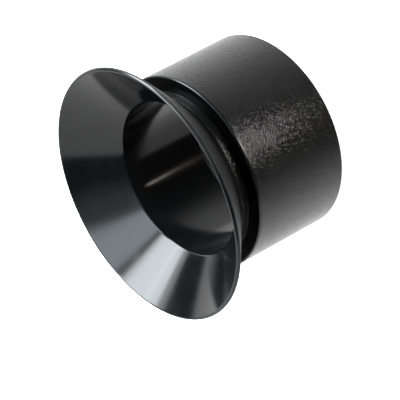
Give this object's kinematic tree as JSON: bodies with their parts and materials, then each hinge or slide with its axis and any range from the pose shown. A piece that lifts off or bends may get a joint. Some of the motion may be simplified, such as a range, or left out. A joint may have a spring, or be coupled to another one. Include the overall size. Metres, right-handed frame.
{
  "type": "flow nozzle",
  "caption": "Round aquarium flow nozzle: a polished flare and flow tube snapped into a grained cylindrical sleeve with a rear push-on socket.",
  "frame": {"origin": "centre of the sleeve's rear end, on the plane it stands on", "axes": "+Z along the flow axis, from the rear socket towards the mouth of the flare; X and Y are free, because the nozzle is round"},
  "size_m": [0.08, 0.08, 0.0505],
  "materials": {
    "polished_black": "polished inside, satin on the back of the flare",
    "grained_black": "fine spark-eroded grain"
  },
  "bodies": {
    "root": {"flare_nozzle": "polished_black", "outer_sleeve": "grained_black"}
  },
  "joints": []
}
